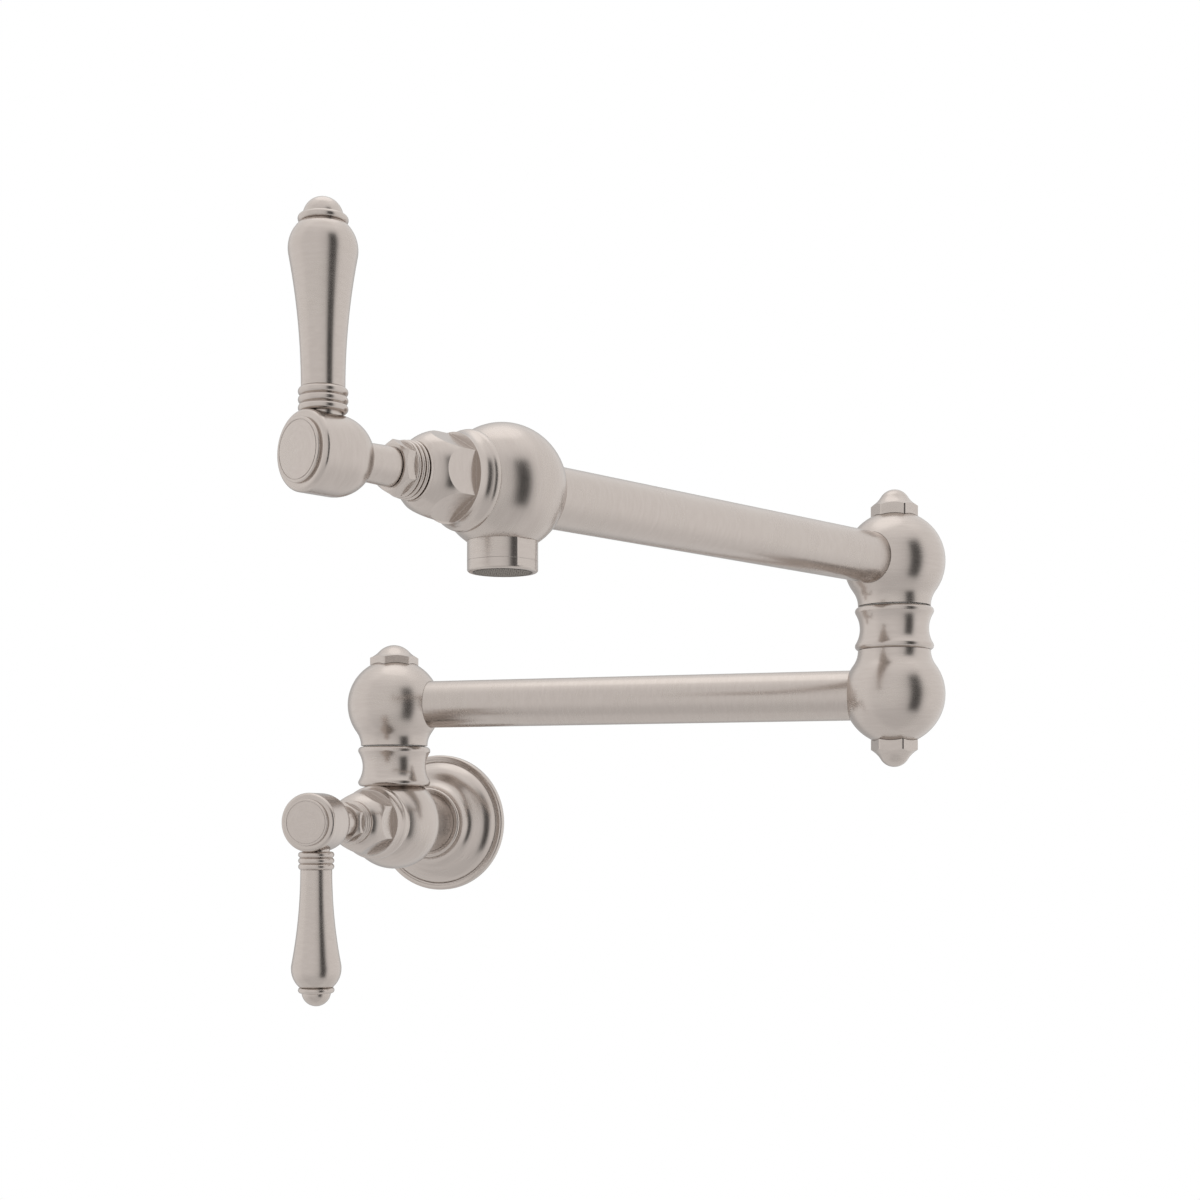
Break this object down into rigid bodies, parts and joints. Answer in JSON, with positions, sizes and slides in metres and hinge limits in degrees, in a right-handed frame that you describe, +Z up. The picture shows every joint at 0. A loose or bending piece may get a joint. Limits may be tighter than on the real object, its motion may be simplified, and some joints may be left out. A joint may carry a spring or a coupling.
{
  "type": "pot filler",
  "caption": "Wall-mounted pot filler tap with jointed swing arms on ball swivels, a lever valve at the wall and another over the aerated nozzle, brushed nickel.",
  "frame": {"origin": "centre of the water inlet on the wall plane", "axes": "+Y into the wall, so the tap stands out towards -Y; +X along the lower arm; +Z up"},
  "size_m": [0.3337, 0.4039, 0.3101],
  "materials": {
    "nickel": "brushed nickel plating on brass, satin",
    "brass": "turned, bare",
    "rubber": "matte",
    "ptfe": "low-friction polymer, matte",
    "ceramic": "lapped smooth",
    "steel": "stainless steel, bright",
    "plastic": "moulded, grey, with fine openings"
  },
  "bodies": {
    "wall_valve": {"wall_flange": "nickel", "inlet_shank": "nickel", "wall_valve_body": "nickel", "wall_spool": "nickel", "wall_swivel_post": "brass", "wall_post_seals": "rubber", "wall_thrust_washer": "ptfe", "wall_swivel_clip": "steel", "wall_bonnet": "nickel", "wall_packing_nut": "nickel", "wall_packing_ring": "ptfe", "wall_cartridge_body": "brass", "wall_fixed_disc": "ceramic", "wall_seat_seal": "rubber"},
    "wall_lever": {"wall_spindle": "brass", "wall_moving_disc": "ceramic", "wall_stem_sleeve": "nickel", "wall_handle_hub": "nickel", "wall_hub_cap": "nickel", "wall_handle_screw": "steel", "wall_lever_rod": "brass", "wall_lever_ferrule": "nickel", "wall_lever_grip": "nickel", "wall_lever_finial": "nickel"},
    "lower_arm": {"lower_inner_ball": "nickel", "column_cap_nut": "nickel", "lower_arm_tube": "nickel", "lower_outer_ball": "nickel", "elbow_cap_nut": "nickel", "elbow_spool": "nickel", "elbow_swivel_post": "brass", "elbow_post_seals": "rubber", "elbow_thrust_washer": "ptfe", "elbow_swivel_clip": "steel"},
    "upper_arm": {"knuckle_ball": "nickel", "knuckle_cap_nut": "nickel", "upper_arm_tube": "nickel", "spout_body": "nickel", "spout_nozzle": "nickel", "aerator_housing": "nickel", "aerator_insert": "plastic", "aerator_gasket": "rubber", "spout_bonnet": "nickel", "spout_packing_nut": "nickel", "spout_packing_ring": "ptfe", "spout_cartridge_body": "brass", "spout_fixed_disc": "ceramic", "spout_seat_seal": "rubber"},
    "spout_lever": {"spout_spindle": "brass", "spout_moving_disc": "ceramic", "spout_stem_sleeve": "nickel", "spout_handle_hub": "nickel", "spout_hub_cap": "nickel", "spout_handle_screw": "steel", "spout_lever_rod": "brass", "spout_lever_ferrule": "nickel", "spout_lever_grip": "nickel", "spout_lever_finial": "nickel"}
  },
  "joints": [
    {"name": "wall_swivel", "type": "hinge", "parent": "wall_valve", "child": "lower_arm", "pos_m": [0, -0.0665, 0.0635], "axis": [0, 0, 1], "range_deg": [-180, 0]},
    {"name": "elbow_swivel", "type": "hinge", "parent": "lower_arm", "child": "upper_arm", "pos_m": [0.27, -0.0665, 0.1295], "axis": [0, 0, 1], "continuous": true},
    {"name": "wall_lever_turn", "type": "hinge", "parent": "wall_valve", "child": "wall_lever", "pos_m": [0, -0.0665, 0], "axis": [0, -1, 0], "range_deg": [0, 90]},
    {"name": "spout_lever_turn", "type": "hinge", "parent": "upper_arm", "child": "spout_lever", "pos_m": [0.15334, -0.31, 0.1295], "axis": [-0.4321, -0.9018, 0], "range_deg": [0, 90]}
  ]
}
